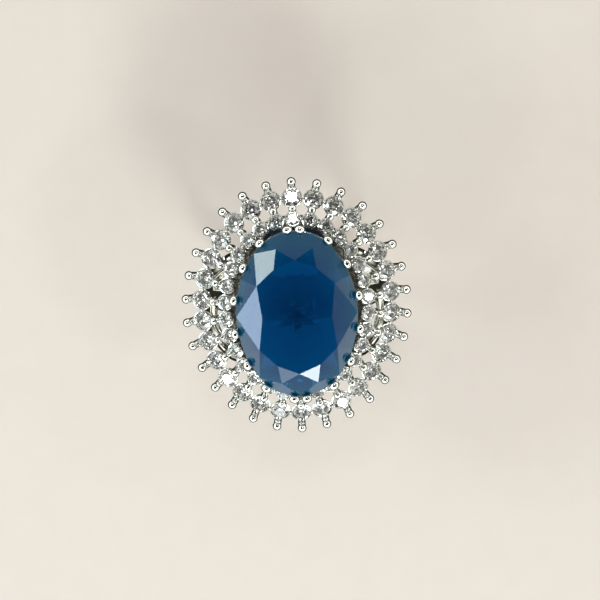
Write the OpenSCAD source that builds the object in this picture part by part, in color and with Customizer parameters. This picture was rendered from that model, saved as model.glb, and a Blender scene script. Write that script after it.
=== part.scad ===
// Cocktail ring: a large oval blue stone on claws, standing above a double halo of round stones.
// Millimetres. The origin is the centre of the finger hole, +Y runs along the finger and
// +Z points out of the stone's table. All ovals are four-arc ovals, so the rail is a true curve.

/* [Band] */
// Inside diameter of the band, which is the finger size
finger_d = 17.3; // [16.5:0.1:17.4]
// Thickness of the band at its crest
band_t = 1.6; // [1.2:0.05:1.6]
// Width of the band along the finger
band_w = 3.2; // [2.6:0.1:3.6]
// Thickness of the round bars that carry the head
arm_d = 1.4; // [1.1:0.05:1.6]

/* [Centre stone] */
// Width of the centre stone, across the finger
stone_w = 13; // [12.8:0.05:13.1]
// Length of the centre stone, along the finger
stone_l = 18; // [17.8:0.05:18.1]
// Height of the girdle's middle above the finger's centre line
girdle_z = 15.4; // [15.4:0.05:15.8]
// Height of the table above the girdle's middle
crown_h = 1.65; // [1.4:0.05:1.9]
// Depth of the point below the girdle's middle
pavilion_h = 4.6; // [4:0.1:4.6]
// Thickness of the stone's edge
girdle_t = 0.4; // [0.3:0.05:0.4]

/* [Claws] */
// Thickness of a claw's post
claw_d = 0.84; // [0.7:0.02:0.9]
// Width of a claw's rounded tip
claw_tip_d = 0.88; // [0.84:0.02:0.96]
// Thickness of the wire that the centre stone rests in
seat_wire_d = 0.76; // [0.6:0.02:0.76]

/* [Halo] */
// Stones in each of the two rings
halo_count = 30; // [28:1:30]
// Diameter of an inner stone
inner_d = 1.5; // [1.4:0.02:1.54]
// Diameter of an outer stone
outer_d = 2.05; // [1.9:0.02:2.08]
// Lean of the halo stones away from the centre
halo_lean = 20; // [17:1:23]
// Thickness of a prong between the two rings
inner_prong_d = 0.8; // [0.7:0.02:0.84]
// Diameter of the tip of a prong between the two rings
inner_tip_d = 0.86; // [0.84:0.02:0.9]
// Thickness of a prong outside the outer ring
outer_prong_d = 0.84; // [0.74:0.02:0.88]
// Diameter of the tip of a prong outside the outer ring
outer_tip_d = 0.96; // [0.9:0.02:1]

/* [Hidden] */
$fn = 96;
finger_r = finger_d / 2;
band_r = finger_r + band_t;
band_edge_drop = 0.55;            // the crest of the band stands this far above its two edges
clear = 0.01;                     // air left between a stone and the metal that carries it

// Half-width and half-length of each oval, and its height
stone_oval = [stone_w / 2, stone_l / 2];
seat_oval = stone_oval - [0.2, 0.34];
seat_z = girdle_z - 0.88;
claw_tip_oval = stone_oval + [0.34, 0.3];
claw_tip_z = girdle_z + 0.4;
claw_foot_oval = [6.25, 8.55];
inner_oval = [7.8, 9.81];
inner_z = girdle_z - 3.14;
outer_oval = [10.3, 11.98];
outer_z = girdle_z - 4.1;

// The flat plate under the head, with its window for the stone's point
plate_t = 0.5;
plate_z = girdle_z - 4.85;        // its underside
plate_outer = [7.95, 9.95];
plate_inner = [5.35, 7.65];

// Where each claw stands, in 360ths of the way round from a pole of the oval
claw_places = [4.8, 28, 51, 77];

// The cut of a small round stone, as shares of its diameter
melee_table = 0.56;
melee_crown = 0.16;
melee_girdle = 0.03;
melee_pavilion = 0.43;

// The open cups that the halo stones sit in. Neighbouring rims all but touch.
rim_down = 0.04;                  // the rim lies this far below the middle of the stone's girdle
inner_cup_rim = 0.9;
inner_cup_foot = 0.5;
inner_cup_h = 1.1;
outer_cup_rim = 1.14;
outer_cup_foot = 0.8;
outer_cup_h = 0.85;
cup_hole = 0.28;                  // radius of the hole under a stone, as a share of its diameter
bead_d = 0.32;

wire_gap = 0.01;                  // a wire's arcs stop this far from their joints

outer_names = [for (k = [1:30]) str("outer_stone_", k < 10 ? "0" : "", k)];
inner_names = [for (k = [1:10]) str("inner_stones_", k < 10 ? "0" : "", k)];

// ---- Four-arc ovals -------------------------------------------------------------------------

// Radius of the arc at either end, for an oval [half-width, half-length]
function end_radius(o) = let (s = norm(o)) (s - o.y + o.x) / 2 * s / o.y;
// Radius of the arc along either side
function side_radius(o) = let (s = norm(o)) (s + o.y - o.x) / 2 * s / o.x;
// Angle from the long axis at which the end arc meets the side arc
function turn_angle(o) = atan2(side_radius(o) - o.x, o.y - end_radius(o));

// The place a share f of the way round from the +Y pole, clockwise from above:
// [x, y, direction of the outward normal]
function station(o, f) =
    let (r = end_radius(o), rr = side_radius(o), t = turn_angle(o),
         end_arc = r * t, quarter = end_arc + rr * (90 - t),
         g = 4 * (f - floor(f)), q = floor(g),
         s = (q % 2 == 0 ? g - q : q + 1 - g) * quarter,
         turn = s <= end_arc ? s / r : t + (s - end_arc) / rr,
         x = s <= end_arc ? r * sin(turn) : o.x - rr + rr * sin(turn),
         y = s <= end_arc ? o.y - r + r * cos(turn) : rr * cos(turn),
         sx = q < 2 ? 1 : -1, sy = q == 0 || q == 3 ? 1 : -1)
    [sx * x, sy * y, atan2(sy * cos(turn), sx * sin(turn))];
function at_height(p, z) = [p.x, p.y, z];

// Sweeps a flat outline along a short stretch of the oval, either side of share f.
// The outline's x is the distance outwards and its y the height.
module along_oval_near(o, f) {
    p = station(o, f);
    at_end = abs(p.x) < meeting(o).x && abs(p.y) > meeting(o).y;
    r = at_end ? end_radius(o) : side_radius(o);
    stretch = 1.2 / r * 180 / PI;
    translate([p.x - r * cos(p.z), p.y - r * sin(p.z), 0]) rotate(p.z - stretch)
        rotate_extrude(angle = 2 * stretch) translate([r, 0]) children();
}

// The place where an end arc meets a side arc, in the first quarter
function meeting(o) = let (t = turn_angle(o), r = end_radius(o)) [r * sin(t), o.y - r + r * cos(t), 0];

// A round wire bent to an oval in four arcs, which meet end to end
module oval_wire(o, d) {
    r = end_radius(o);
    rr = side_radius(o);
    t = turn_angle(o);
    end_gap = wire_gap / r * 180 / PI;
    side_gap = wire_gap / rr * 180 / PI;
    for (half = [0, 180]) rotate(half) {
        translate([0, o.y - r, 0]) rotate(90 - t + end_gap)
            rotate_extrude(angle = 2 * (t - end_gap)) translate([r, 0]) circle(d = d);
        translate([o.x - rr, 0, 0]) rotate(t - 90 + side_gap)
            rotate_extrude(angle = 2 * (90 - t - side_gap)) translate([rr, 0]) circle(d = d);
    }
}

// Puts a halo piece at share f of an oval: local x points outwards, local z out of the stone
module at_station(o, z, f) {
    p = station(o, f);
    translate([p.x, p.y, z]) rotate([0, 0, p.z]) rotate([0, halo_lean, 0]) children();
}

// Puts a piece in the gap between inner stone k and outer stone k
module at_spoke(k) {
    p = at_height(station(inner_oval, k / halo_count), inner_z);
    q = at_height(station(outer_oval, k / halo_count), outer_z);
    way = (q - p) / norm(q - p);
    gap = norm(q - p) - (inner_d + outer_d) / 2;
    translate(p + way * (inner_d + gap) / 2)
        rotate([0, 0, atan2(way.y, way.x)]) rotate([0, halo_lean, 0]) children();
}

// A round bar of diameter d from p to q
module bar(p, q, d) {
    v = q - p;
    translate(p) rotate([0, acos(v.z / norm(v)), atan2(v.y, v.x)]) cylinder(h = norm(v), d = d);
}

// ---- Stones -----------------------------------------------------------------------------------

// A plane [a, b, c] holds the points where a x + b y + z = c.
// The plane of a main facet: it falls in direction psi from the point t to the point g.
function main_plane(t, g, psi) =
    let (n = [cos(psi), sin(psi)], run = (g.x - t.x) * n.x + (g.y - t.y) * n.y,
         s = n * (t.z - g.z) / run)
    [s.x, s.y, s.x * t.x + s.y * t.y + t.z];
// The point at height z on the ridge where two planes meet
function ridge(p, q, z) =
    let (det = p.x * q.y - q.x * p.y)
    [((p.z - z) * q.y - (q.z - z) * p.y) / det, ((q.z - z) * p.x - (p.z - z) * q.x) / det, z];
// The height at xy of the plane through three points
function height_on(a, b, c, xy) =
    let (n = cross(b - a, c - a))
    a.z - (n.x * (xy.x - a.x) + n.y * (xy.y - a.y)) / n.z;

// The girdle is divided in 16 places per turn: even places carry main facets.
girdle_shares = [0, 0.052, 0.102, 0.166, 0.25];
function quarter_index(i) = let (q = floor(i / 4), j = i - 4 * q) q % 2 == 0 ? j : 4 - j;
function girdle_share(i) =
    let (q = floor(i / 4), s = girdle_shares[quarter_index(i)])
    q % 2 == 0 ? q / 4 + s : (q + 1) / 4 - s;
// Repeats the five points of one quarter round the stone
function mirrored(points, i) =
    let (p = points[quarter_index(i)])
    [p.x * (i <= 8 ? 1 : -1), p.y * (i <= 4 || i >= 12 ? 1 : -1), p.z];

main_fall = 38;                   // direction in which a diagonal main facet falls, from +X
half = girdle_t / 2;
girdle_points = [for (i = [0:4]) at_height(station(stone_oval, girdle_shares[i]), half)];
table_end = [0, 0.69 * stone_l / 2, crown_h];
table_corner = [0.35 * stone_w / 2, 0.585 * stone_l / 2, crown_h];
table_side = [0.572 * stone_w / 2, 0, crown_h];
plane_end = main_plane(table_end, girdle_points[0], 90);
plane_corner = main_plane(table_corner, girdle_points[2], main_fall);
plane_side = main_plane(table_side, girdle_points[4], 0);
crown_points = [
    table_end,
    ridge(plane_corner, plane_end, 0.65 * crown_h),
    table_corner,
    ridge(plane_side, plane_corner, 0.86 * crown_h),
    table_side
];

// The pavilion is worked out with depth as its z, and turned over when the stone is put together
point = [0, 0, pavilion_h];
deep_end = main_plane(point, girdle_points[0], 90);
deep_corner = main_plane(point, girdle_points[2], 48);
deep_side = main_plane(point, girdle_points[4], 0);
pavilion_points = [
    point,
    ridge(deep_corner, deep_end, 0.66 * pavilion_h),
    point,
    ridge(deep_side, deep_corner, 0.66 * pavilion_h),
    point
];

steps = 4;                        // straight pieces of girdle on each half facet
// One ring of girdle points, on the planes of the half facets above (or, for depths, below) it
function girdle_ring(inner) = [
    for (i = [0:15], s = [0:steps - 1])
        let (f0 = girdle_share(i), f1 = i == 15 ? 1 : girdle_share(i + 1),
             a = at_height(station(stone_oval, f0), half),
             b = at_height(station(stone_oval, f1), half),
             c = mirrored(inner, i % 2 == 1 ? i : (i + 1) % 16),
             xy = station(stone_oval, f0 + (f1 - f0) * s / steps))
        [xy.x, xy.y, s == 0 ? half : height_on(a, b, c, xy)]
];
function turned_over(points) = [for (p = points) [p.x, p.y, -p.z]];

module centre_stone() {
    ring = 16 * steps;
    top = concat([for (i = [0:15]) mirrored(crown_points, i)], girdle_ring(crown_points));
    below = turned_over(concat([for (i = [0:15]) mirrored(pavilion_points, i)],
                               girdle_ring(pavilion_points)));
    low = len(top);
    culet = low;
    table = [[for (i = [0:2:14]) i]];
    stars = [for (i = [1:2:15]) [i - 1, i, (i + 1) % 16]];
    kites = [for (i = [0:2:14]) [i, (i + 15) % 16, 16 + i * steps, i + 1]];
    halves = [for (i = [0:15])
        concat([i % 2 == 1 ? i : (i + 1) % 16], [for (s = [0:steps]) 16 + (i * steps + s) % ring])];
    edge = [for (j = [0:ring - 1])
        [16 + j, low + 16 + j, low + 16 + (j + 1) % ring, 16 + (j + 1) % ring]];
    deep_halves = [for (i = [0:15])
        concat([low + (i % 2 == 1 ? i : (i + 1) % 16)],
               [for (s = [steps:-1:0]) low + 16 + (i * steps + s) % ring])];
    deep_kites = [for (i = [0:2:14])
        [culet, low + i + 1, low + 16 + i * steps, low + (i + 15) % 16]];
    color("midnightblue") translate([0, 0, girdle_z])
        polyhedron(concat(top, below), concat(table, stars, kites, halves, edge, deep_halves, deep_kites));
}

// The space that the centre stone's rim takes near share f, cut out of a claw
module stone_rim(f) {
    translate([0, 0, girdle_z]) along_oval_near(stone_oval, f)
        polygon([[-1.4, -1.6], [clear, -half - clear], [clear, half + clear], [-1.2, 1.3], [-1.4, 1.3]]);
}

// A small round stone of diameter d, with its girdle at z = 0
module round_stone(d, grow = 0) {
    r = d / 2 + grow;
    g = melee_girdle * d / 2 + grow;
    rotate_extrude()
        polygon([[0, -melee_pavilion * d - grow], [r, -g], [r, g],
                 [melee_table * r, melee_crown * d + grow], [0, melee_crown * d + grow]]);
}
module outer_stone(k) {
    color("white") at_station(outer_oval, outer_z, k / halo_count) round_stone(outer_d);
}
module inner_stone(k) {
    color("white") at_station(inner_oval, inner_z, k / halo_count) round_stone(inner_d);
}

// ---- Metal ------------------------------------------------------------------------------------

// The band's section, filled in to the finger's centre line when solid
module band_section(solid = false) {
    crest_r = (band_w * band_w / 4 + band_edge_drop * band_edge_drop) / (2 * band_edge_drop);
    inside = solid ? band_r - crest_r : finger_r;
    intersection() {
        translate([inside, -band_w / 2]) square([band_r - inside, band_w]);
        translate([band_r - crest_r, 0]) circle(r = crest_r);
    }
}
module shank() {
    color("silver") rotate([90, 0, 0]) rotate_extrude() band_section();
}

// A shoulder arm: a round bar bent to one arc, from the side of the band up to the plate
arm_foot = [9.35, 0.95, 3.2];
arm_head = [6.5, 5.6, 11];
arm_bulge = 1.3;
module shoulder_arm(sx, sy) {
    chord = arm_head - arm_foot;
    along = chord / norm(chord);
    out = let (raw = [1, 0, 0.5], flat = raw - along * (raw * along)) flat / norm(flat);
    side = cross(out, along);
    bend_r = (norm(chord) * norm(chord) / 4 + arm_bulge * arm_bulge) / (2 * arm_bulge);
    centre = (arm_foot + arm_head) / 2 - out * (bend_r - arm_bulge);
    sweep = 2 * asin(norm(chord) / 2 / bend_r);
    color("silver") mirror([sx < 0 ? 1 : 0, 0, 0]) mirror([0, sy < 0 ? 1 : 0, 0])
        difference() {
            multmatrix([[out.x, along.x, side.x, centre.x],
                        [out.y, along.y, side.y, centre.y],
                        [out.z, along.z, side.z, centre.z]])
                rotate(-sweep / 2) rotate_extrude(angle = sweep) translate([bend_r, 0]) circle(d = arm_d);
            rotate([90, 0, 0]) rotate_extrude() band_section(solid = true);
            translate([0, 0, plate_z]) linear_extrude(4) square(30);
        }
}

module oval_outline(o) {
    polygon([for (k = [0:119]) let (p = station(o, k / 120)) [p.x, p.y]]);
}
module gallery_plate() {
    color("silver") translate([0, 0, plate_z]) linear_extrude(plate_t) difference() {
        oval_outline(plate_outer);
        oval_outline(plate_inner);
    }
}

// Short bars under every third spoke, from the plate's edge out to the feet of the outer cups
strut_d = 0.5;
module gallery_struts() {
    foot_down = rim_down + outer_cup_h + strut_d / 2;
    color("silver") for (k = [1:3:halo_count - 1]) {
        f = k / halo_count;
        in = at_height(station(plate_outer + [0.02, 0.02], f), plate_z + plate_t / 2);
        out = at_height(station(outer_oval - [1, 1] * foot_down * sin(halo_lean), f),
                        outer_z - foot_down * cos(halo_lean));
        bar(in, out, strut_d);
    }
}

module centre_seat_rail() {
    color("silver") translate([0, 0, seat_z]) oval_wire(seat_oval, seat_wire_d);
}

// One claw: a post from the plate, with a rounded tip that is a little wider than it is long
module claw(f) {
    foot = at_height(station(claw_foot_oval, f), plate_z);
    tip = at_height(station(claw_tip_oval, f), claw_tip_z);
    heading = station(claw_tip_oval, f).z;
    spread = 0.09;
    difference() {
        union() {
            bar(foot, tip, claw_d);
            translate(tip) rotate([0, 0, heading]) {
                for (s = [-spread, spread]) translate([0, s, 0]) sphere(d = claw_tip_d);
                translate([0, -spread, 0]) rotate([-90, 0, 0]) cylinder(h = 2 * spread, d = claw_tip_d);
            }
        }
        stone_rim(f);
        translate([0, 0, seat_z]) along_oval_near(seat_oval, f) circle(d = seat_wire_d);
        translate([foot.x - 1, foot.y - 1, plate_z - 1]) cube([2, 2, plate_t + 1]);
    }
}
module centre_claws(q) {
    color("silver") for (place = claw_places)
        claw(q % 2 == 0 ? q / 4 + place / 360 : (q + 1) / 4 - place / 360);
}

// An open cup for a stone of diameter d: rim and foot are its outside radii
module cup(d, rim, foot, h) {
    difference() {
        translate([0, 0, -rim_down - h]) cylinder(h = h, r1 = foot, r2 = rim);
        translate([0, 0, -rim_down - h - 1]) cylinder(h = h + 1, r = cup_hole * d);
        round_stone(d, clear);
    }
}
module inner_cups() {
    color("silver") for (k = [0:halo_count - 1]) at_station(inner_oval, inner_z, k / halo_count)
        cup(inner_d, inner_cup_rim, inner_cup_foot, inner_cup_h);
}
module outer_cups() {
    color("silver") for (k = [0:halo_count - 1]) at_station(outer_oval, outer_z, k / halo_count)
        cup(outer_d, outer_cup_rim, outer_cup_foot, outer_cup_h);
}

// Beads where the rims of two cups meet
module beads(o, z) {
    color("silver") for (k = [0:halo_count - 1]) at_station(o, z, (k + 0.5) / halo_count)
        translate([0, 0, bead_d / 2 - rim_down]) sphere(d = bead_d);
}
module inner_beads() {
    beads(inner_oval, inner_z);
}
module outer_beads() {
    beads(outer_oval, outer_z);
}

// The outside of a cup and its stone, cut out of the prongs beside it
module cup_space(d, rim, foot, h) {
    translate([0, 0, -rim_down - h - 1]) cylinder(h = 1 + clear, r = foot + clear);
    translate([0, 0, -rim_down - h]) cylinder(h = h + clear, r1 = foot + clear, r2 = rim + clear);
    round_stone(d, clear);
}
module inner_cup_space() {
    cup_space(inner_d, inner_cup_rim, inner_cup_foot, inner_cup_h);
}
module outer_cup_space() {
    cup_space(outer_d, outer_cup_rim, outer_cup_foot, outer_cup_h);
}

// Prongs between the two rings: each tip holds an inner and an outer stone
module inner_prongs() {
    tip_up = 0.52;
    foot_down = 0.85;
    color("silver") for (k = [0:halo_count - 1]) difference() {
        at_spoke(k) {
            translate([0, 0, -foot_down]) cylinder(h = foot_down + tip_up, d = inner_prong_d);
            translate([0, 0, tip_up]) sphere(d = inner_tip_d);
        }
        at_station(inner_oval, inner_z, k / halo_count) inner_cup_space();
        at_station(outer_oval, outer_z, k / halo_count) outer_cup_space();
    }
}

// Prongs round the outside: posts that lean out past the stone, each with a ball tip
module outer_prongs() {
    tip_out = outer_d / 2 + 0.58;
    tip_up = 0.62;
    foot_out = outer_d / 2 - 0.14;
    foot_down = 1;
    color("silver") for (k = [0:halo_count - 1]) at_station(outer_oval, outer_z, k / halo_count)
        difference() {
            union() {
                bar([foot_out, 0, -foot_down], [tip_out, 0, tip_up], outer_prong_d);
                translate([tip_out, 0, tip_up]) sphere(d = outer_tip_d);
            }
            outer_cup_space();
        }
}

// ---- Nodes ------------------------------------------------------------------------------------

shank();
shoulder_arm(1, 1);  // shoulder_arm_1
shoulder_arm(1, -1);  // shoulder_arm_2
shoulder_arm(-1, -1);  // shoulder_arm_3
shoulder_arm(-1, 1);  // shoulder_arm_4
gallery_plate();
gallery_struts();
centre_seat_rail();
centre_claws(0);  // centre_claws_1
centre_claws(1);  // centre_claws_2
centre_claws(2);  // centre_claws_3
centre_claws(3);  // centre_claws_4
centre_stone();
inner_cups();
outer_cups();
inner_beads();
outer_beads();
inner_prongs();
outer_prongs();
for (n = [0:9])
    for (k = [3 * n:3 * n + 2]) inner_stone(k);
for (n = [0:29])
    outer_stone(n);
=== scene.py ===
# %% [markdown]
# # A cocktail ring with a domed double halo
# The ring has a big oval stone on sixteen claws, two rings of thirty small round stones below it,
# and a plain band. The CAD model gives every size and place. This script keeps those, and gives
# each piece the shape and finish that catch the light: facets, rounded claw tips and polished metal.

import math
import random

import bpy
from mathutils import Matrix, Vector


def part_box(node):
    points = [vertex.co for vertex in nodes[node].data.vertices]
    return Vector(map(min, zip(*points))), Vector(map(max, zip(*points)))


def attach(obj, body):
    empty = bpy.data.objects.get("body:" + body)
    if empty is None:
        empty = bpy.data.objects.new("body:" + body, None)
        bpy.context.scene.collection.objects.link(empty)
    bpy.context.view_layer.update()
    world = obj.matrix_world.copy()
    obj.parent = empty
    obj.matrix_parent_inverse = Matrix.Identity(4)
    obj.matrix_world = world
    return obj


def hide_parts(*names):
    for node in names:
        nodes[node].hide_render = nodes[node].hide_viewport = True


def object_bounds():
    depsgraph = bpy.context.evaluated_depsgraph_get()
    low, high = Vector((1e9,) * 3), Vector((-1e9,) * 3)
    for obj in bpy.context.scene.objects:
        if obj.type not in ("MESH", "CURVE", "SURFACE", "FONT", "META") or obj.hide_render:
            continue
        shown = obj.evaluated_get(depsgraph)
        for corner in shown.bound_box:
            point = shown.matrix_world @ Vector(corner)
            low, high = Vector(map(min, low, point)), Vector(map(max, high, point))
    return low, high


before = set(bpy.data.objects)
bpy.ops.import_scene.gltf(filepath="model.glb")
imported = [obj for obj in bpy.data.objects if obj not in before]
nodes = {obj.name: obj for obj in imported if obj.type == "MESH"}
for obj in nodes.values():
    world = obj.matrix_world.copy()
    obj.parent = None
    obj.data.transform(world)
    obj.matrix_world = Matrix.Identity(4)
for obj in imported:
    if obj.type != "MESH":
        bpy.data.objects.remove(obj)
cad_low, cad_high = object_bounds()
MM = 0.001
print("CAD nodes:", len(nodes), "size in mm:", [round(side / MM, 2) for side in cad_high - cad_low])

# %% [markdown]
# ## Colours and nodes
# Jewellers and painters both name colours as they look on a screen, which is sRGB. Blender works in
# linear light, so one function turns a hex value to linear. A second small function adds a shader
# node with its settings, which keeps each material short enough to read like a recipe.

# %% Two small helpers for materials


def linear(hex_colour):
    channels = [int(hex_colour[i:i + 2], 16) / 255 for i in (0, 2, 4)]
    return [c / 12.92 if c <= 0.04045 else ((c + 0.055) / 1.055) ** 2.4 for c in channels] + [1.0]


def add(tree, kind, sockets=None, **settings):
    node = tree.nodes.new(kind)
    for name, value in settings.items():
        setattr(node, name, value)
    for name, value in (sockets or {}).items():
        if isinstance(value, bpy.types.NodeSocket):
            tree.links.new(value, node.inputs[name])
        else:
            node.inputs[name].default_value = value
    return node


def new_material(name):
    material = bpy.data.materials.new(name)
    material.use_nodes = True
    material.node_tree.nodes.clear()
    return material, material.node_tree


print("pale cream in linear light:", [round(c, 3) for c in linear("e8e2d6")[:3]])

# %% [markdown]
# ## Polished rhodium plate
# The metal is cast, tumbled and plated with rhodium, a bright and slightly cool white. It could be a
# plain mirror, but a buffing wheel leaves hair-fine lines, and plate has small clouds where it is
# thinner. Long, stretched noise gives the lines and soft noise gives the clouds. A real line is far
# finer than the one here, which is drawn coarser so that it shows at all.

# %% Rhodium plate, polished
BUFFING_LINE = 0.05 * MM
PLATE_CLOUD = 1.6 * MM
PLATE_GLOSS = (0.06, 0.13)          # roughness where the plate is brightest and dullest
LINE_DEPTH = 0.002 * MM

polished, tree = new_material("rhodium_plate_polished")
place = add(tree, "ShaderNodeTexCoord")
stretch = add(tree, "ShaderNodeMapping", {"Vector": place.outputs["Object"], "Scale": (1, 1, 0.12)})
lines = add(tree, "ShaderNodeTexNoise",
            {"Vector": stretch.outputs["Vector"], "Scale": 1 / BUFFING_LINE, "Detail": 2.0})
clouds = add(tree, "ShaderNodeTexNoise",
             {"Vector": place.outputs["Object"], "Scale": 1 / PLATE_CLOUD, "Detail": 3.0})
tint = add(tree, "ShaderNodeValToRGB", {"Fac": clouds.outputs["Fac"]})
tint.color_ramp.elements[0].position = 0.35
tint.color_ramp.elements[0].color = linear("d2d2cc")
tint.color_ramp.elements[1].position = 0.65
tint.color_ramp.elements[1].color = linear("e6e6e2")
gloss = add(tree, "ShaderNodeMapRange",
            {"Value": clouds.outputs["Fac"], "To Min": PLATE_GLOSS[0], "To Max": PLATE_GLOSS[1]})
relief = add(tree, "ShaderNodeBump",
             {"Height": lines.outputs["Fac"], "Strength": 0.25, "Distance": LINE_DEPTH})
metal = add(tree, "ShaderNodeBsdfPrincipled",
            {"Base Color": tint.outputs["Color"], "Roughness": gloss.outputs["Result"],
             "Normal": relief.outputs["Normal"], "Metallic": 1.0})
add(tree, "ShaderNodeOutputMaterial", {"Surface": metal.outputs["BSDF"]})
print("material:", polished.name)

# %% [markdown]
# ## Satin plate where no wheel reaches
# Behind the stones a buffing wheel can't reach, so the cast skin keeps a fine grain under its plate.
# It is the same metal with more roughness, and its colour is painted much darker than the polished
# plate: painted shade for the parts that sit under the stones. The grain is drawn about an eighth of
# a millimetre across, which is coarser than a real cast skin, so that it shows.

# %% Rhodium plate over a cast skin, with painted shade in its colour
CAST_GRAIN = 0.12 * MM
SATIN_GLOSS = (0.2, 0.34)
GRAIN_DEPTH = 0.01 * MM

satin_painted_shade, tree = new_material("rhodium_satin_grain_and_painted_shade")
place = add(tree, "ShaderNodeTexCoord")
grain = add(tree, "ShaderNodeTexNoise",
            {"Vector": place.outputs["Object"], "Scale": 1 / CAST_GRAIN, "Detail": 4.0})
# The dark olive grey of this tint is painted shade; its spread follows the grain at random.
tint = add(tree, "ShaderNodeValToRGB", {"Fac": grain.outputs["Fac"]})
tint.color_ramp.elements[0].position = 0.3
tint.color_ramp.elements[0].color = linear("7a796f")
tint.color_ramp.elements[1].position = 0.7
tint.color_ramp.elements[1].color = linear("a6a59b")
gloss = add(tree, "ShaderNodeMapRange",
            {"Value": grain.outputs["Fac"], "To Min": SATIN_GLOSS[0], "To Max": SATIN_GLOSS[1]})
relief = add(tree, "ShaderNodeBump",
             {"Height": grain.outputs["Fac"], "Strength": 0.35, "Distance": GRAIN_DEPTH})
metal = add(tree, "ShaderNodeBsdfPrincipled",
            {"Base Color": tint.outputs["Color"], "Roughness": gloss.outputs["Result"],
             "Normal": relief.outputs["Normal"], "Metallic": 1.0})
add(tree, "ShaderNodeOutputMaterial", {"Surface": metal.outputs["BSDF"]})
print("material:", satin_painted_shade.name)

# %% [markdown]
# ## Cut blue glass
# The centre stone is cut glass with a little milk in it. Light comes back deep blue from its middle
# and greyer from its thin rim. A purely clear glass would look too bright and a solid one too flat,
# so the surface is part body colour and part clear. The body colour runs from the axis to the rim by
# real distance, and that change is painted light: deeper blue in the middle and a lighter, greener
# blue at the rim, for how the light that comes back changes across the stone. Soft noise gives the
# cloudiness inside, and stretched noise gives the drag marks of polishing, drawn much coarser than
# real. The index of 1.52 is that of plain glass.

# %% Blue glass, cut and polished
STONE_CLOUD = 2.4 * MM
POLISH_LINE = 0.35 * MM
GLASS_GLOSS = (0.015, 0.09)
CLEAR_SHARE = (0.8, 0.4)            # how much light goes through, at the axis and at the rim
DRIFT = 0.16                        # how far the clouds shift the colour, as a share of the radius
GLASS_INDEX = 1.52
stone_low, stone_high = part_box("centre_stone")
stone_middle = (stone_low + stone_high) / 2
stone_half = (stone_high - stone_low) / 2

blue_glass, tree = new_material("blue_glass_cut_and_polished")
place = add(tree, "ShaderNodeTexCoord")
across = add(tree, "ShaderNodeMapping",
             {"Vector": place.outputs["Object"],
              "Location": (-stone_middle.x / stone_half.x, -stone_middle.y / stone_half.y, 0),
              "Scale": (1 / stone_half.x, 1 / stone_half.y, 0)})
reach = add(tree, "ShaderNodeVectorMath", {0: across.outputs["Vector"]}, operation="LENGTH")
cloud = add(tree, "ShaderNodeTexNoise",
            {"Vector": place.outputs["Object"], "Scale": 1 / STONE_CLOUD, "Detail": 3.0})
drift = add(tree, "ShaderNodeMath", {0: cloud.outputs["Fac"], 1: DRIFT, 2: -DRIFT / 2},
            operation="MULTIPLY_ADD")
where = add(tree, "ShaderNodeMath", {0: reach.outputs["Value"], 1: drift.outputs["Value"]},
            operation="ADD")
# Painted light: this ramp from axis to rim stands in for how the returning light changes across the
# stone.
body = add(tree, "ShaderNodeValToRGB", {"Fac": where.outputs["Value"]})
body.color_ramp.elements[0].position = 0.1
body.color_ramp.elements[0].color = linear("004078")
body.color_ramp.elements[1].position = 1.0
body.color_ramp.elements[1].color = linear("005476")
for position, colour in ((0.45, "00427a"), (0.72, "00467a"), (0.88, "004e76")):
    stop = body.color_ramp.elements.new(position)
    stop.color = linear(colour)
clear_share = add(tree, "ShaderNodeMapRange",
                  {"Value": where.outputs["Value"], "To Min": CLEAR_SHARE[0],
                   "To Max": CLEAR_SHARE[1]})
drag = add(tree, "ShaderNodeMapping", {"Vector": place.outputs["Object"], "Scale": (1, 0.2, 1)})
polish = add(tree, "ShaderNodeTexNoise",
             {"Vector": drag.outputs["Vector"], "Scale": 1 / POLISH_LINE, "Detail": 4.0})
gloss = add(tree, "ShaderNodeMapRange",
            {"Value": polish.outputs["Fac"], "From Min": 0.35, "From Max": 0.75,
             "To Min": GLASS_GLOSS[0], "To Max": GLASS_GLOSS[1]})
glass = add(tree, "ShaderNodeBsdfPrincipled",
            {"Base Color": body.outputs["Color"], "Roughness": gloss.outputs["Result"],
             "IOR": GLASS_INDEX, "Transmission Weight": clear_share.outputs["Result"]})
add(tree, "ShaderNodeOutputMaterial", {"Surface": glass.outputs["BSDF"]})
print("material:", blue_glass.name)

# %% [markdown]
# ## Cut zirconia
# The halo stones are cubic zirconia, machine cut and polished. It is clear, with an index of 2.15, so
# that most light goes back out of the top as sparks. Small stones pick up a trace of skin oil and
# dust, which takes the hardest edge off the sparks. Faint noise in the colour and polish shows that.

# %% Cubic zirconia, machine cut
SMEAR = 0.5 * MM
SMEAR_ROUGHNESS = 0.004
ZIRCONIA_INDEX = 2.15

zirconia, tree = new_material("cubic_zirconia_machine_cut")
place = add(tree, "ShaderNodeTexCoord")
smear = add(tree, "ShaderNodeTexNoise",
            {"Vector": place.outputs["Object"], "Scale": 1 / SMEAR, "Detail": 2.0})
tint = add(tree, "ShaderNodeValToRGB", {"Fac": smear.outputs["Fac"]})
tint.color_ramp.elements[0].position = 0.3
tint.color_ramp.elements[0].color = linear("eeeef0")
tint.color_ramp.elements[1].position = 0.7
tint.color_ramp.elements[1].color = linear("fffffb")
gloss = add(tree, "ShaderNodeMapRange",
            {"Value": smear.outputs["Fac"], "To Min": 0.0, "To Max": SMEAR_ROUGHNESS})
crystal = add(tree, "ShaderNodeBsdfPrincipled",
              {"Base Color": tint.outputs["Color"], "Roughness": gloss.outputs["Result"],
               "IOR": ZIRCONIA_INDEX, "Transmission Weight": 1.0})
add(tree, "ShaderNodeOutputMaterial", {"Surface": crystal.outputs["BSDF"]})
print("material:", zirconia.name)

# %% [markdown]
# ## Turned solids
# A post, a bead and a cup are all turned shapes: an outline of radius and height, swept round an
# axis. Blender's Screw modifier does this too, but a small function lets each turned shape be bent,
# notched and copied round the ring as plain lists of points before it becomes a mesh.

# %% Make a turned shape, move it, and join several into one piece


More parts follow.
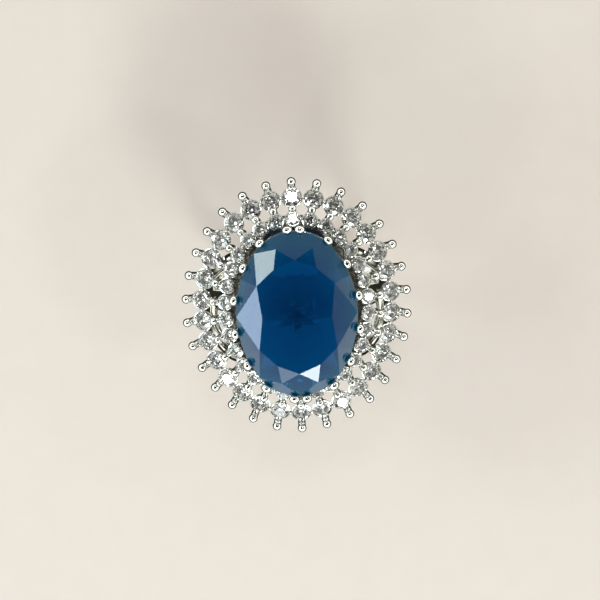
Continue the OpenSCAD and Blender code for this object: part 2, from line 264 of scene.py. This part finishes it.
def turned(outline, around):
    """Sweeps (radius, height) points round Z. A radius of 0 is a pole. Equal ends close the loop."""
    closed = outline[0] == outline[-1]
    rows = outline[:-1] if closed else outline
    points = []
    starts = []
    for radius, height in rows:
        starts.append(len(points))
        count = 1 if radius == 0 else around
        for j in range(count):
            angle = 2 * math.pi * j / around
            points.append(Vector((radius * math.cos(angle), radius * math.sin(angle), height)))
    faces = []
    pairs = list(zip(range(len(rows) - 1), range(1, len(rows))))
    if closed:
        pairs.append((len(rows) - 1, 0))
    for low, high in pairs:
        for j in range(around):
            k = (j + 1) % around
            corners = [starts[low] + (0 if rows[low][0] == 0 else j),
                       starts[low] + (0 if rows[low][0] == 0 else k),
                       starts[high] + (0 if rows[high][0] == 0 else k),
                       starts[high] + (0 if rows[high][0] == 0 else j)]
            faces.append(list(dict.fromkeys(corners)))
    return points, faces


def moved(solid, place):
    return [place @ p for p in solid[0]], solid[1]


def joined(solids):
    points = []
    faces = []
    for some_points, some_faces in solids:
        start = len(points)
        points.extend(some_points)
        faces.extend([start + i for i in face] for face in some_faces)
    return points, faces


print("a turned cone has", len(turned([(0, 0), (1, 1), (0, 1)], 12)[1]), "faces")

# %% [markdown]
# ## Named pieces
# Every piece stands for one CAD node. One function makes the mesh, hides the node that it replaces
# and fills its material slot. Edges sharper than a set angle stay crisp and gentler ones are shaded
# smooth, which costs less than adding faces until they look round.

# %% Turn points into a named piece


def piece(name, solid, material, node, sharp_above=35):
    mesh = bpy.data.meshes.new(name)
    mesh.from_pydata([p * MM for p in solid[0]], [], solid[1])
    mesh.materials.append(material)
    mesh.shade_smooth()
    mesh.set_sharp_from_angle(angle=math.radians(sharp_above))
    made = bpy.data.objects.new(name, mesh)
    bpy.context.scene.collection.objects.link(made)
    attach(made, "root")
    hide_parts(node)


# %% [markdown]
# ## Ovals and places
# The rim of the stone, the rail, the claws and both rings of the halo all follow ovals made of four
# arcs. One function walks a share of the way round such an oval, clockwise from the +Y pole, and
# gives the place and the outward direction. It is the same rule that the CAD model uses, so each
# new piece lands on the solid that it stands for.

# %% Walk round a four-arc oval


def station(oval, share):
    """Gives x, y, the outward heading, and the radius of the arc that the place lies on."""
    a, b = oval
    slant = math.hypot(a, b)
    end_r = (slant - b + a) / 2 * slant / b
    side_r = (slant + b - a) / 2 * slant / a
    meet = math.atan2(side_r - a, b - end_r)
    quarter = end_r * meet + side_r * (math.pi / 2 - meet)
    steps = 4 * (share % 1)
    q = int(steps)
    arc = (steps - q if q % 2 == 0 else q + 1 - steps) * quarter
    if arc <= end_r * meet:
        turn = arc / end_r
        x, y, bend = end_r * math.sin(turn), b - end_r + end_r * math.cos(turn), end_r
    else:
        turn = meet + (arc - end_r * meet) / side_r
        x, y, bend = a - side_r + side_r * math.sin(turn), side_r * math.cos(turn), side_r
    sx = 1 if q < 2 else -1
    sy = 1 if q in (0, 3) else -1
    return sx * x, sy * y, math.atan2(sy * math.cos(turn), sx * math.sin(turn)), bend


GIRDLE_Z = 15.4
HALO_COUNT = 30
HALO_LEAN = math.radians(20)
INNER_D = 1.5
OUTER_D = 2.05
INNER_OVAL = (7.8, 9.81)
OUTER_OVAL = (10.3, 11.98)
INNER_Z = GIRDLE_Z - 3.14
OUTER_Z = GIRDLE_Z - 4.1


def leaning_place(x, y, z, heading):
    """Local X points outwards and local Z out of a halo stone's table."""
    return (Matrix.Translation((x, y, z)) @ Matrix.Rotation(heading, 4, "Z")
            @ Matrix.Rotation(HALO_LEAN, 4, "Y"))


def halo_place(oval, z, share):
    x, y, heading, _ = station(oval, share)
    return leaning_place(x, y, z, heading)


inner_places = [halo_place(INNER_OVAL, INNER_Z, k / HALO_COUNT) for k in range(HALO_COUNT)]
outer_places = [halo_place(OUTER_OVAL, OUTER_Z, k / HALO_COUNT) for k in range(HALO_COUNT)]
spacing = (outer_places[1].translation - outer_places[0].translation).length
print("outer stones are", round(spacing, 2), "mm apart")

# %% [markdown]
# ## Round brilliants
# The CAD model has plain turned outlines where the small stones go. A real one is a brilliant: a
# table, eight stars, eight kites and sixteen halves above the girdle, and twenty-four facets below.
# Each kite lies in one plane from the table to the girdle. The other corners are worked out from
# those planes, so that every facet is truly flat and the sparks come out crisp.

# %% Work out the corners of a brilliant
TABLE_SHARE = 0.56
CROWN_SHARE = 0.16
GIRDLE_SHARE = 0.03
PAVILION_SHARE = 0.43
STAR_LENGTH = 0.5
LOWER_HALF_LENGTH = 0.77
GIRDLE_STEPS = 4


def height_on(a, b, c, x, y):
    n = (b - a).cross(c - a)
    return a.z - (n.x * (x - a.x) + n.y * (y - a.y)) / n.z


def half_brilliant(d, flat_r, flat_z, between_r):
    """One side of the girdle: the flat's corners, the corners between kites, and the girdle."""
    r = d / 2
    edge_z = GIRDLE_SHARE * d / 2
    eighth = math.pi / 4
    fall = (flat_z - edge_z) / (r - flat_r)
    between_z = flat_z - fall * (between_r * math.cos(eighth / 2) - flat_r)

    def at(radius, turn, z):
        return Vector((radius * math.cos(turn * eighth), radius * math.sin(turn * eighth), z))

    flat = [at(flat_r, i, flat_z) for i in range(8)]
    between = [at(between_r, i + 0.5, between_z) for i in range(8)]
    girdle = []
    for i in range(8 * GIRDLE_STEPS):
        turn = i / GIRDLE_STEPS
        main = math.floor(turn)
        near = main if turn - main <= 0.5 else main + 1
        point = at(r, turn, edge_z)
        point.z = height_on(between[main], at(r, near, edge_z), at(r, main + 0.5, edge_z),
                            point.x, point.y)
        girdle.append(point)
    return flat, between, girdle


def brilliant(d, spin):
    r = d / 2
    table_r = TABLE_SHARE * r
    edge_mid = table_r * math.cos(math.pi / 8)
    star_r = edge_mid + STAR_LENGTH * (r - edge_mid)
    table, stars, rim = half_brilliant(d, table_r, CROWN_SHARE * d, star_r)
    culet, lows, low_rim = half_brilliant(d, 0.0, PAVILION_SHARE * d, (1 - LOWER_HALF_LENGTH) * r)
    below = [Vector((p.x, p.y, -p.z)) for p in lows + low_rim + culet[:1]]
    points = table + stars + rim + below
    ring = 8 * GIRDLE_STEPS
    first_rim, first_low = 16, 16 + ring
    first_low_rim, point = first_low + 8, first_low + 8 + ring
    faces = [list(range(8))]
    for i in range(8):
        after, before = (i + 1) % 8, (i - 1) % 8
        main = first_rim + i * GIRDLE_STEPS
        low_main = first_low_rim + i * GIRDLE_STEPS
        faces.append([i, 8 + i, after])
        faces.append([i, 8 + before, main, 8 + i])
        faces.append([point, first_low + i, low_main, first_low + before])
        half = GIRDLE_STEPS // 2
        for start in (0, half):
            steps = [(i * GIRDLE_STEPS + start + s) % ring for s in range(half + 1)]
            faces.append([8 + i] + [first_rim + s for s in steps])
            faces.append([first_low + i] + [first_low_rim + s for s in reversed(steps)])
    for j in range(ring):
        k = (j + 1) % ring
        faces.append([first_rim + j, first_low_rim + j, first_low_rim + k, first_rim + k])
    return moved((points, faces), Matrix.Rotation(spin, 4, "Z"))


print("one brilliant has", len(brilliant(OUTER_D, 0)[1]) - 8 * GIRDLE_STEPS, "facets and a girdle")

# %% [markdown]
# ## Set the halo
# A setter drops each stone in its cup and pushes the prongs over it, so no two stones sit quite
# alike. Each one gets its own turn about its axis and a tilt of a degree or two. The draws come
# from a fixed seed, so the ring comes out the same each time.

# %% Thirty outer stones and ten groups of three inner stones
setter = random.Random(41)
SEAT_TILT = math.radians(1.6)


def set_stone(place, d):
    spin = setter.uniform(0, math.pi / 4)
    tilt = Matrix.Rotation(setter.uniform(-SEAT_TILT, SEAT_TILT), 4, "X")
    nod = Matrix.Rotation(setter.uniform(-SEAT_TILT, SEAT_TILT), 4, "Y")
    return moved(brilliant(d, spin), place @ tilt @ nod)


for k, place_now in enumerate(outer_places):
    node = f"outer_stone_{k + 1:02d}"
    piece(node + "_brilliant", set_stone(place_now, OUTER_D), zirconia, node, 1)
for n in range(HALO_COUNT // 3):
    node = f"inner_stones_{n + 1:02d}"
    trio = joined([set_stone(place_now, INNER_D) for place_now in inner_places[3 * n:3 * n + 3]])
    piece(node + "_brilliants", trio, zirconia, node, 1)
print("halo stones set:", 2 * HALO_COUNT)

# %% [markdown]
# ## Cups
# Each halo stone rests in an open cup, like a tiny funnel: a foot, a flared wall, a thin bright rim
# and a hole that lets light in from behind. A cup is turned from one closed outline. The rim's two
# edges are broken by a small bevel, and it is this bevel that shows as a bright line round a stone.

# %% Turn the cups
RIM_DOWN = 0.04
CUP_HOLE = 0.28
RIM_BEVEL = 0.05
SEAT_GAP = 0.012
INNER_CUP_RIM = 0.9                 # radii of the rim and the foot
INNER_CUP_FOOT = 0.5
INNER_CUP_H = 1.1
OUTER_CUP_RIM = 1.14
OUTER_CUP_FOOT = 0.8
OUTER_CUP_H = 0.85


def stone_radius(d, z):
    """How far a halo stone reaches from its axis at height z above its girdle."""
    r = d / 2
    edge = GIRDLE_SHARE * r
    if z < -PAVILION_SHARE * d or z > CROWN_SHARE * d:
        return 0
    if z < -edge:
        return r * (PAVILION_SHARE * d + z) / (PAVILION_SHARE * d - edge)
    if z <= edge:
        return r
    return r - (z - edge) * r * (1 - TABLE_SHARE) / (CROWN_SHARE * d - edge)


def cup(d, rim, foot, height):
    top = -RIM_DOWN
    bottom = top - height
    inside = stone_radius(d, top) + SEAT_GAP
    hole = CUP_HOLE * d
    depth = PAVILION_SHARE * d
    throat = -depth * (1 - hole / (d / 2))
    outline = [(hole, bottom), (foot - RIM_BEVEL, bottom), (foot, bottom + RIM_BEVEL),
               (rim, top - RIM_BEVEL), (rim - RIM_BEVEL / 2, top - RIM_BEVEL / 4),
               (rim - RIM_BEVEL, top), (inside, top),
               (hole, max(throat - SEAT_GAP, bottom + RIM_BEVEL)), (hole, bottom)]
    return turned(outline, 40)


inner_cup = cup(INNER_D, INNER_CUP_RIM, INNER_CUP_FOOT, INNER_CUP_H)
outer_cup = cup(OUTER_D, OUTER_CUP_RIM, OUTER_CUP_FOOT, OUTER_CUP_H)
piece("inner_cups_turned", joined([moved(inner_cup, p) for p in inner_places]), polished,
      "inner_cups")
piece("outer_cups_turned", joined([moved(outer_cup, p) for p in outer_places]), polished,
      "outer_cups")
print("cups turned:", 2 * HALO_COUNT)

# %% [markdown]
# ## Prongs
# Between the rings, one prong holds an inner and an outer stone. Outside, each stone has a post that
# leans out past it and ends in a ball. A post and its ball are one casting with a slight neck. The
# setter files a notch where a girdle fits in, and this does the same: each point of the metal that
# falls inside a stone is pushed out to just clear it.

# %% Shape a post with a ball tip
NECK_ANGLE = math.radians(128)      # where the ball meets its neck, from the top of the ball
FOOT_BEVEL = 0.06
NECK_LENGTH = 0.1
SHAFT_STAGES = 7
BALL_STEPS = 12


def post(length, shaft_r, ball_r, foot_r):
    """A post along Z with its ball centred on the end, a neck below the ball and a rounded foot."""
    neck_r = ball_r * math.sin(NECK_ANGLE)
    neck_z = length + ball_r * math.cos(NECK_ANGLE)
    outline = [(0, 0), (foot_r * 0.8, 0), (foot_r, FOOT_BEVEL)]
    for i in range(1, SHAFT_STAGES):
        share = i / SHAFT_STAGES
        z = FOOT_BEVEL + (neck_z - FOOT_BEVEL - NECK_LENGTH) * share
        outline.append((foot_r + (shaft_r - foot_r) * share, z))
    outline.append((shaft_r, neck_z - NECK_LENGTH))
    outline.append(((shaft_r + neck_r) / 2 - 0.01, neck_z - 0.03))
    for i in range(BALL_STEPS + 1):
        angle = NECK_ANGLE * (1 - i / BALL_STEPS)
        radius = ball_r * math.sin(angle) if i < BALL_STEPS else 0
        outline.append((radius, length + ball_r * math.cos(angle)))
    return turned(outline, 28)


def along(start, end, outwards):
    """A place at start whose Z runs to end and whose X leans outwards."""
    z = (end - start).normalized()
    x = (outwards - z * outwards.dot(z)).normalized()
    facing = Matrix((x, z.cross(x), z)).transposed().to_4x4()
    return Matrix.Translation(start) @ facing


def notched(solid, place, d):
    """Pushes the points that fall inside a halo stone out to just clear it."""
    back = place.inverted()
    points = []
    for p in solid[0]:
        local = back @ p
        reach = math.hypot(local.x, local.y)
        limit = stone_radius(d, local.z) + SEAT_GAP
        if SEAT_GAP < limit and 0 < reach < limit:
            local.x *= limit / reach
            local.y *= limit / reach
            p = place @ local
        points.append(p)
    return points, solid[1]


print("a post has", len(post(1.5, 0.4, 0.48, 0.42)[0]), "points")

# %% [markdown]
# ### Prongs between the rings
# On each spoke one short prong stands in the middle of the gap between an inner and an outer stone
# and grips both. Placing it by the two stones, and not by its own oval, keeps it centred on the gap.

# %% Prongs between the rings
INNER_PRONG_DOWN = 0.85
INNER_PRONG_UP = 0.52
INNER_SHAFT_R = 0.39
INNER_BALL_R = 0.43
INNER_FOOT_R = 0.4

inner_prongs = []
for inner, outer in zip(inner_places, outer_places):
    start, end = inner.translation, outer.translation
    way = (end - start).normalized()
    gap = (end - start).length - (INNER_D + OUTER_D) / 2
    middle = start + way * (INNER_D + gap) / 2
    spoke = leaning_place(*middle, math.atan2(way.y, way.x))
    shape = post(INNER_PRONG_DOWN + INNER_PRONG_UP, INNER_SHAFT_R, INNER_BALL_R, INNER_FOOT_R)
    prong = moved(shape, spoke @ Matrix.Translation((0, 0, -INNER_PRONG_DOWN)))
    inner_prongs.append(notched(notched(prong, inner, INNER_D), outer, OUTER_D))
piece("inner_prongs_rounded", joined(inner_prongs), polished, "inner_prongs")
print("inner prongs:", len(inner_prongs))

# %% [markdown]
# ### Prongs outside the outer ring
# These splay outwards past their stones, which gives the ring its sunburst edge. One post is made
# leaning in a stone's own frame, and then copied to all thirty places.

# %% Prongs outside the outer ring
FOOT_IN = 0.14                      # the foot stands this far inside the stone's edge
FOOT_DOWN = 1
TIP_OUT = 0.58                      # and the ball this far outside it
TIP_UP = 0.62
OUTER_SHAFT_R = 0.41
OUTER_BALL_R = 0.48
OUTER_FOOT_R = 0.42

foot = Vector((OUTER_D / 2 - FOOT_IN, 0, -FOOT_DOWN))
tip = Vector((OUTER_D / 2 + TIP_OUT, 0, TIP_UP))
upright = post((tip - foot).length, OUTER_SHAFT_R, OUTER_BALL_R, OUTER_FOOT_R)
leaning_post = moved(upright, along(foot, tip, Vector((1, 0, 0))))
outer_prongs = [notched(moved(leaning_post, p), p, OUTER_D) for p in outer_places]
piece("outer_prongs_rounded", joined(outer_prongs), polished, "outer_prongs")
print("outer prongs:", len(outer_prongs))

# %% [markdown]
# ## Beads between cups
# Where two cups meet, the setter raises a small bead of metal that also helps to hold the stones.
# A bead is not quite a ball: it has a wider root and a crown polished a little flat. A short turned
# outline gives that, and sixty copies of it cost very little.

# %% Sixty small beads
BEAD_R = 0.16


def bead():
    outline = [(0, -BEAD_R), (BEAD_R * 0.75, -BEAD_R * 0.9)]
    for degrees in range(100, 9, -15):
        angle = math.radians(degrees)
        outline.append((BEAD_R * math.sin(angle), BEAD_R * 0.95 * math.cos(angle)))
    outline.append((0, BEAD_R * 0.95))
    return turned(outline, 20)


for name, oval, z in (("inner", INNER_OVAL, INNER_Z), ("outer", OUTER_OVAL, OUTER_Z)):
    lift = Matrix.Translation((0, 0, BEAD_R - RIM_DOWN))
    beads = [moved(bead(), halo_place(oval, z, (k + 0.5) / HALO_COUNT) @ lift)
             for k in range(HALO_COUNT)]
    piece(f"{name}_beads_raised", joined(beads), polished, f"{name}_beads")
print("beads raised:", 2 * HALO_COUNT)

# %% [markdown]
# ## Claws
# Sixteen claws rise from the plate and bend over the girdle of the centre stone. Each tip is pressed
# into an oval bead, wider along the rim than across it. The claw is one turned post, stretched along
# the rim more and more towards its tip, and then notched by the rim of the stone like the prongs.

# %% Raise the claws
STONE_OVAL = (6.5, 9.0)
CLAW_FOOT_OVAL = (6.25, 8.55)
CLAW_TIP_OVAL = (STONE_OVAL[0] + 0.34, STONE_OVAL[1] + 0.3)
CLAW_TIP_Z = GIRDLE_Z + 0.4
PLATE_Z = 10.55
PLATE_T = 0.5
CLAW_PLACES = (4.8, 28, 51, 77)
CLAW_TIP_R = 0.47
CLAW_WIDEN = 1.2
CLAW_WIDEN_FROM = 0.6               # share of the claw's length below which it stays round
CLAW_SHAFT_R = 0.41
CLAW_FOOT_R = 0.42
RIM_TOP = 1.3                       # the stone's edge falls back by RIM_TOP_IN up to this height
RIM_TOP_IN = 1.2
RIM_FOOT = 1.6                      # and by RIM_FOOT_IN down to this depth
RIM_FOOT_IN = 1.4
GIRDLE_HALF = 0.2


def rim_reach(z):
    """How far the centre stone reaches past its girdle's outline, at a height above the girdle."""
    if z > RIM_TOP or z < -RIM_FOOT:
        return None
    if z > GIRDLE_HALF:
        return -RIM_TOP_IN * (z - GIRDLE_HALF) / (RIM_TOP - GIRDLE_HALF)
    if z < -GIRDLE_HALF:
        return -RIM_FOOT_IN * (-z - GIRDLE_HALF) / (RIM_FOOT - GIRDLE_HALF)
    return 0


def clear_of_rim(solid, share):
    x, y, heading, bend = station(STONE_OVAL, share)
    out = Vector((math.cos(heading), math.sin(heading), 0))
    centre = Vector((x, y, 0)) - out * bend
    points = []
    for p in solid[0]:
        flat = Vector((p.x - centre.x, p.y - centre.y, 0))
        limit = rim_reach(p.z - GIRDLE_Z)
        if limit is not None and flat.length - bend < limit + SEAT_GAP:
            flat *= (bend + limit + SEAT_GAP) / flat.length
            p = Vector((centre.x + flat.x, centre.y + flat.y, p.z))
        points.append(p)
    return points, solid[1]


def claw(share):
    foot_x, foot_y, _, _ = station(CLAW_FOOT_OVAL, share)
    tip_x, tip_y, heading, _ = station(CLAW_TIP_OVAL, share)
    low = Vector((foot_x, foot_y, PLATE_Z + PLATE_T / 2))
    high = Vector((tip_x, tip_y, CLAW_TIP_Z))
    place = along(low, high, Vector((math.cos(heading), math.sin(heading), 0)))
    length = (high - low).length
    points, faces = post(length, CLAW_SHAFT_R, CLAW_TIP_R, CLAW_FOOT_R)
    for p in points:
        above = (p.z - CLAW_WIDEN_FROM * length) / ((1 - CLAW_WIDEN_FROM) * length)
        share_up = min(1, max(0, above))
        p.y *= 1 + (CLAW_WIDEN - 1) * share_up
    return clear_of_rim(moved((points, faces), place), share)


for q in range(4):
    shares = [q / 4 + c / 360 if q % 2 == 0 else (q + 1) / 4 - c / 360 for c in CLAW_PLACES]
    piece(f"centre_claws_{q + 1}_pressed", joined([claw(s) for s in shares]), polished,
          f"centre_claws_{q + 1}")
print("claws raised:", 4 * len(CLAW_PLACES))

# %% [markdown]
# ## Seat rail
# A round wire runs inside the claws and carries the centre stone. It could be a curve with a bevel,
# but then its ends and normals need care. Here a ring of round sections follows the same oval as the
# CAD model, which closes on itself with no seam. The wire is slightly thinner than the CAD one and
# stays inside it.

# %% Bend the seat rail


def wire_round(oval, z, wire_r, sections, around):
    points = []
    for i in range(sections):
        x, y, heading, _ = station(oval, i / sections)
        for j in range(around):
            angle = 2 * math.pi * j / around
            out = wire_r * math.cos(angle)
            points.append(Vector((x + out * math.cos(heading), y + out * math.sin(heading),
                                  z + wire_r * math.sin(angle))))
    faces = []
    for i in range(sections):
        for j in range(around):
            k = (j + 1) % around
            m = (i + 1) % sections
            faces.append([i * around + j, i * around + k, m * around + k, m * around + j])
    return points, faces


SEAT_OVAL = (STONE_OVAL[0] - 0.25, STONE_OVAL[1] - 0.39)
SEAT_DROP = 0.9
SEAT_WIRE_R = 0.32
seat_rail = wire_round(SEAT_OVAL, GIRDLE_Z - SEAT_DROP, SEAT_WIRE_R, 240, 24)
# The rail takes the satin plate, whose dark colour is painted shade.
piece("centre_seat_rail_wire", seat_rail, satin_painted_shade, "centre_seat_rail")
print("seat rail points:", len(seat_rail[0]))

# %% [markdown]
# ## Band
# The band is a low dome outside and flat inside, with edges rounded so that it slips over a knuckle.
# The CAD section has sharp corners there. The turned outline keeps its size and rounds both edges.

# %% Turn the band
band_low, band_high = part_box("shank")
BAND_R = (band_high.x - band_low.x) / 2 / MM
BAND_W = (band_high.y - band_low.y) / MM
FINGER_R = 8.65
EDGE_DROP = 0.55
EDGE_ROUND = 0.18

crest_r = (BAND_W ** 2 / 4 + EDGE_DROP ** 2) / (2 * EDGE_DROP)
side = BAND_W / 2
shoulder_y = side - 0.04
outline = []
for i in range(25):
    y = -shoulder_y + 2 * shoulder_y * i / 24
    outline.append((BAND_R - crest_r + math.sqrt(crest_r ** 2 - y ** 2), y))
for degrees in (0, 22.5, 45, 67.5, 90):
    angle = math.radians(degrees)
    outline.append((FINGER_R + EDGE_ROUND * (1 - math.sin(angle)),
                    side - EDGE_ROUND * (1 - math.cos(angle))))
for degrees in (90, 67.5, 45, 22.5, 0):
    angle = math.radians(degrees)
    outline.append((FINGER_R + EDGE_ROUND * (1 - math.sin(angle)),
                    -side + EDGE_ROUND * (1 - math.cos(angle))))
outline.append(outline[0])
band = moved(turned(outline, 256), Matrix.Rotation(math.pi / 2, 4, "X"))
piece("shank_band_turned", band, polished, "shank", 50)
print("band:", round(2 * BAND_R, 2), "mm across and", round(BAND_W, 2), "mm wide")

# %% [markdown]
# ## Pieces kept from the CAD model
# The centre stone has its true facets already. The arms, the plate and the struts are plain cast
# shapes that the CAD model holds well, so they keep their meshes and take their finish here.

# %% Give the kept pieces their finish
# The plate and the struts take the satin plate, whose dark colour is painted shade.
KEPT = {"centre_stone": blue_glass, "gallery_plate": satin_painted_shade, "gallery_struts": satin_painted_shade,
        "shoulder_arm_1": polished, "shoulder_arm_2": polished,
        "shoulder_arm_3": polished, "shoulder_arm_4": polished}
for name, material in KEPT.items():
    kept = nodes[name]
    kept.data.materials.clear()
    kept.data.materials.append(material)
print("kept from the CAD model:", ", ".join(KEPT))

# %% [markdown]
# ## Floor
# The ring stands on its band on a plain cream sheet of card. It is part of the studio, not of the
# ring. Card has a faint tooth, so the sheet gets soft noise in its colour. It is hidden from shiny
# reflections: cream card mirrored in the metal would wash out the dark outline of each bead.

# %% Lay the floor
CARD_FLECK = 3 * MM
FLOOR_HALF = 1.5

card, tree = new_material("cream_card_matt")
place = add(tree, "ShaderNodeTexCoord")
fleck = add(tree, "ShaderNodeTexNoise", {"Vector": place.outputs["Object"], "Scale": 1 / CARD_FLECK})
tint = add(tree, "ShaderNodeValToRGB", {"Fac": fleck.outputs["Fac"]})
tint.color_ramp.elements[0].color = linear("d0c5bd")
tint.color_ramp.elements[1].color = linear("d4c9c1")
sheet = add(tree, "ShaderNodeBsdfPrincipled", {"Base Color": tint.outputs["Color"], "Roughness": 0.9,
                                               "Specular IOR Level": 0.2})
add(tree, "ShaderNodeOutputMaterial", {"Surface": sheet.outputs["BSDF"]})

floor_mesh = bpy.data.meshes.new("floor")
floor_mesh.from_pydata([(-FLOOR_HALF, -FLOOR_HALF, cad_low.z), (FLOOR_HALF, -FLOOR_HALF, cad_low.z),
                        (FLOOR_HALF, FLOOR_HALF, cad_low.z), (-FLOOR_HALF, FLOOR_HALF, cad_low.z)],
                       [], [(0, 1, 2, 3)])
floor_mesh.materials.append(card)
floor = bpy.data.objects.new("floor", floor_mesh)
bpy.context.scene.collection.objects.link(floor)
floor.visible_glossy = False
print("floor at", round(cad_low.z / MM, 2), "mm")

# %% [markdown]
# ## Studio
# Polished metal shows the room more than itself, so the sky is drawn in bands by height. It is dark
# straight overhead, grey over most of the dome, white from the horizon to a little above it, and
# dark below. A bead mirrors these as a dark centre, a bright ring and a dark outline.

# %% Sky by height above the horizon
world = bpy.data.worlds.new("studio")
bpy.context.scene.world = world
world.use_nodes = True
tree = world.node_tree
tree.nodes.clear()
look = add(tree, "ShaderNodeTexCoord")
axes = add(tree, "ShaderNodeSeparateXYZ", {"Vector": look.outputs["Generated"]})
height = add(tree, "ShaderNodeMapRange", {"Value": axes.outputs["Z"], "From Min": -1.0, "From Max": 1.0})
sky = add(tree, "ShaderNodeValToRGB", {"Fac": height.outputs["Result"]})
sky.color_ramp.elements[0].position = 0.0
sky.color_ramp.elements[0].color = linear("1b1b18")
sky.color_ramp.elements[1].position = 1.0
sky.color_ramp.elements[1].color = linear("141513")
for z, colour in ((-0.24, "1d1d17"), (-0.12, "7c7c72"), (0.05, "fffef8"), (0.24, "fffef8"),
                  (0.38, "8a8a85"), (0.78, "868783"), (0.87, "181916")):
    stop = sky.color_ramp.elements.new((z + 1) / 2)
    stop.color = linear(colour)
light = add(tree, "ShaderNodeBackground", {"Color": sky.outputs["Color"], "Strength": 2.5})
add(tree, "ShaderNodeOutputWorld", {"Surface": light.outputs["Background"]})
print("sky stops:", len(sky.color_ramp.elements))

# %% [markdown]
# ### Softboxes and small lamps
# Two softboxes on the left and two at the front light up single facets of the centre stone. Three
# small, strong lamps make the tables of a few halo stones flash. One wide box would be simpler, but
# it lights neighbouring facets too. Each lamp is aimed at the centre stone from a set direction.

# %% Softboxes and small lamps
SPOT_HALF_ANGLE = 3.2
SPOT_RADIANCE = 30.0
LAMP_DISTANCE = 0.4
head = Vector((0, 0, GIRDLE_Z * MM))


def lamp(name, direction, half_angle, radiance, colour="ffffff"):
    size = 2 * LAMP_DISTANCE * math.tan(math.radians(half_angle))
    data = bpy.data.lights.new(name, "AREA")
    data.shape = "DISK"
    data.size = size
    data.energy = radiance * math.pi * math.pi * size ** 2 / 4
    data.color = linear(colour)[:3]
    made = bpy.data.objects.new(name, data)
    way = Vector(direction).normalized()
    made.location = head + way * LAMP_DISTANCE
    made.rotation_mode = "QUATERNION"
    made.rotation_quaternion = way.to_track_quat("Z", "Y")
    bpy.context.scene.collection.objects.link(made)


lamp("softbox_left", (-0.80, -0.21, 0.57), 8, 10.0, "d0e6ff")
lamp("softbox_back_left", (-0.72, 0.36, 0.59), 8, 10.5, "f0fff8")
lamp("softbox_front_wide", (-0.16, -0.71, 0.67), 11, 3.6, "f0fcff")
lamp("softbox_front", (0.22, -0.71, 0.67), 8, 19.0, "f4fffc")
lamp("lamp_back", (0, 0.469, 0.883), SPOT_HALF_ANGLE, SPOT_RADIANCE)
lamp("lamp_right", (0.629, -0.208, 0.749), SPOT_HALF_ANGLE, SPOT_RADIANCE)
lamp("lamp_front_left", (-0.492, -0.552, 0.673), SPOT_HALF_ANGLE, SPOT_RADIANCE)
print("lamps:", len(bpy.data.lights))

# %% [markdown]
# ## Camera
# The camera looks down on the table of the centre stone, tipped 12 degrees towards the top of the
# oval, from 250 mm away. A long lens keeps the far side of the halo the same size as the near one.

# %% Camera
CAMERA_TILT = math.radians(12)
CAMERA_ROLL = math.radians(2.53)
CAMERA_DISTANCE = 250
VIEW_WIDTH = 64.19
SENSOR = 36
AIM_RIGHT = 0.387                   # the camera aims this far from the middle of the girdle
AIM_UP = 1.49

level_right = Vector((1, 0, 0))
level_up = Vector((0, math.cos(CAMERA_TILT), -math.sin(CAMERA_TILT)))
back = Vector((0, math.sin(CAMERA_TILT), math.cos(CAMERA_TILT)))
right = level_right * math.cos(CAMERA_ROLL) - level_up * math.sin(CAMERA_ROLL)
up = level_right * math.sin(CAMERA_ROLL) + level_up * math.cos(CAMERA_ROLL)
target = Vector((0, 0, GIRDLE_Z)) + level_right * AIM_RIGHT + level_up * AIM_UP
camera_data = bpy.data.cameras.new("camera")
camera_data.sensor_width = SENSOR
camera_data.lens = SENSOR * CAMERA_DISTANCE / VIEW_WIDTH
camera_data.clip_start = 0.01
camera_data.clip_end = 10
camera = bpy.data.objects.new("camera", camera_data)
facing = Matrix((right, up, back)).transposed().to_4x4()
camera.matrix_world = Matrix.Translation((target + back * CAMERA_DISTANCE) * MM) @ facing
bpy.context.scene.collection.objects.link(camera)
bpy.context.scene.camera = camera
print("lens:", round(camera_data.lens, 1), "mm")

# %% [markdown]
# ## How light is followed
# A spark from a brilliant comes out after several bounces inside it, so glass gets more bounces than
# Blender's default. The plain view transform keeps whites white.

# %% Render settings
scene = bpy.context.scene
scene.view_settings.view_transform = "Standard"
scene.cycles.max_bounces = 20
scene.cycles.transmission_bounces = 18
scene.cycles.glossy_bounces = 8
scene.cycles.sample_clamp_indirect = 12
print("bounces inside glass:", scene.cycles.transmission_bounces)
